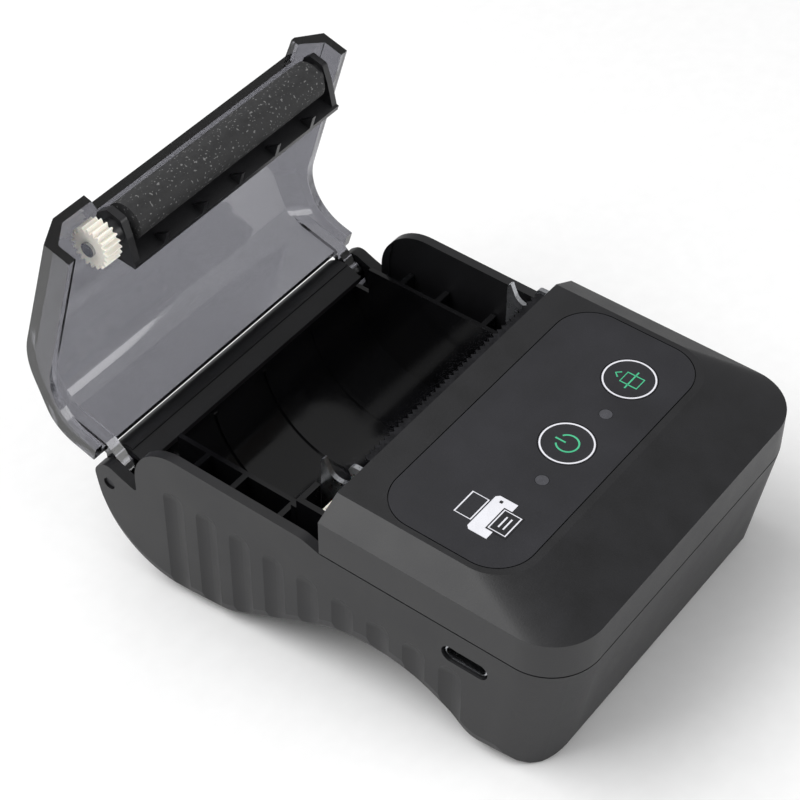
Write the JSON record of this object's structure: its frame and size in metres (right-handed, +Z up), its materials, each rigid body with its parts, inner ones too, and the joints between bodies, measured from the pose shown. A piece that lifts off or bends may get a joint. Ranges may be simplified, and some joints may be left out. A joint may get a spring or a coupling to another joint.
{
  "type": "receipt printer",
  "caption": "Portable thermal receipt printer with a fluted grip, a roll bin and a smoked lid that carries the platen roller.",
  "frame": {"origin": "middle of the rear foot's flat patch, on the table", "axes": "+Z up, -Y out of the front face, X along the lid hinge"},
  "size_m": [0.079, 0.1242, 0.0809],
  "materials": {
    "case_plastic": "fine spark-eroded texture, satin",
    "cover_plastic": "fine spark-eroded texture, satin",
    "gloss_plastic_black": "moulded gloss black",
    "overlay_film": "printed polyester film, fine matt grain",
    "lamp_lens": "milky clear plastic",
    "smoked_plastic": "smoked translucent plastic",
    "frame_steel": "stamped zinc-plated steel",
    "bright_steel": "turned steel",
    "aluminium": "extruded aluminium",
    "head_ceramic": "glazed ceramic",
    "roller_rubber": "ground silicone rubber",
    "white_acetal": "moulded acetal",
    "black_acetal": "moulded acetal",
    "circuit_board": "glass-fibre laminate",
    "chip_resin": "moulded resin",
    "battery_wrap": "shrink wrap"
  },
  "bodies": {
    "case": {"lower_shell": "case_plastic", "front_cover": "cover_plastic", "roll_bin": "gloss_plastic_black", "control_panel": "overlay_film", "status_lamp": "lamp_lens", "charge_lamp": "lamp_lens", "main_board": "circuit_board", "key_board": "circuit_board", "key_switches": "chip_resin", "status_leds": "lamp_lens", "board_chips": "chip_resin", "usb_socket": "bright_steel", "usb_tongue": "chip_resin", "battery_pack": "battery_wrap", "case_screws": "bright_steel", "mechanism_frame": "frame_steel", "gear_studs": "bright_steel", "feed_motor": "frame_steel", "gear_guard": "gloss_plastic_black", "head_pivot_rod": "bright_steel", "head_springs": "bright_steel", "tear_bar": "frame_steel", "paper_sensor": "chip_resin", "hinge_pins": "bright_steel"},
    "lid": {"lid_shell": "smoked_plastic", "platen_cradle": "black_acetal", "platen_bushes": "black_acetal"},
    "platen": {"platen_shaft": "bright_steel", "platen_rubber": "roller_rubber", "platen_gear": "white_acetal"},
    "power_key": {"power_button": "overlay_film"},
    "feed_key": {"feed_button": "overlay_film"},
    "print_head": {"thermal_head": "head_ceramic", "head_heat_sink": "aluminium"},
    "motor_rotor": {"motor_pinion": "bright_steel", "motor_shaft": "bright_steel"},
    "reduction": {"reduction_gear": "white_acetal"},
    "drive": {"drive_gear": "white_acetal"}
  },
  "joints": [
    {"name": "lid_hinge", "type": "hinge", "parent": "case", "child": "lid", "pos_m": [0, 0.0197, 0.02322], "axis": [-1, 0, 0], "range_deg": [-74, 0]},
    {"name": "platen_spin", "type": "hinge", "parent": "lid", "child": "platen", "pos_m": [0, 0.02149, 0.073], "axis": [1, 0, 0], "continuous": true},
    {"name": "power_press", "type": "slide", "parent": "case", "child": "power_key", "axis": [0, 0.1132, -0.9936], "range_m": [0, 0.0004], "stiffness_N_per_m": 1500, "springref_m": -0.0002},
    {"name": "feed_press", "type": "slide", "parent": "case", "child": "feed_key", "axis": [0, 0.1132, -0.9936], "range_m": [0, 0.0004], "stiffness_N_per_m": 1500, "springref_m": -0.0002},
    {"name": "head_pivot", "type": "hinge", "parent": "case", "child": "print_head", "pos_m": [0, -0.03262, 0.02481], "axis": [1, 0, 0], "range_deg": [0, 2], "stiffness_Nm_per_rad": 0.5, "springref_deg": -1.15},
    {"name": "motor_spin", "type": "hinge", "parent": "case", "child": "motor_rotor", "pos_m": [0, -0.04428, 0.0265], "axis": [1, 0, 0], "continuous": true},
    {"name": "reduction_spin", "type": "hinge", "parent": "case", "child": "reduction", "pos_m": [0, -0.03699, 0.02309], "axis": [1, 0, 0], "continuous": true},
    {"name": "drive_spin", "type": "hinge", "parent": "case", "child": "drive", "pos_m": [0, -0.03018, 0.02992], "axis": [1, 0, 0], "continuous": true}
  ],
  "couplings": [
    {"joint": "reduction_spin", "follows": "motor_spin", "ratio": -0.42857},
    {"joint": "drive_spin", "follows": "motor_spin", "ratio": 0.6}
  ]
}
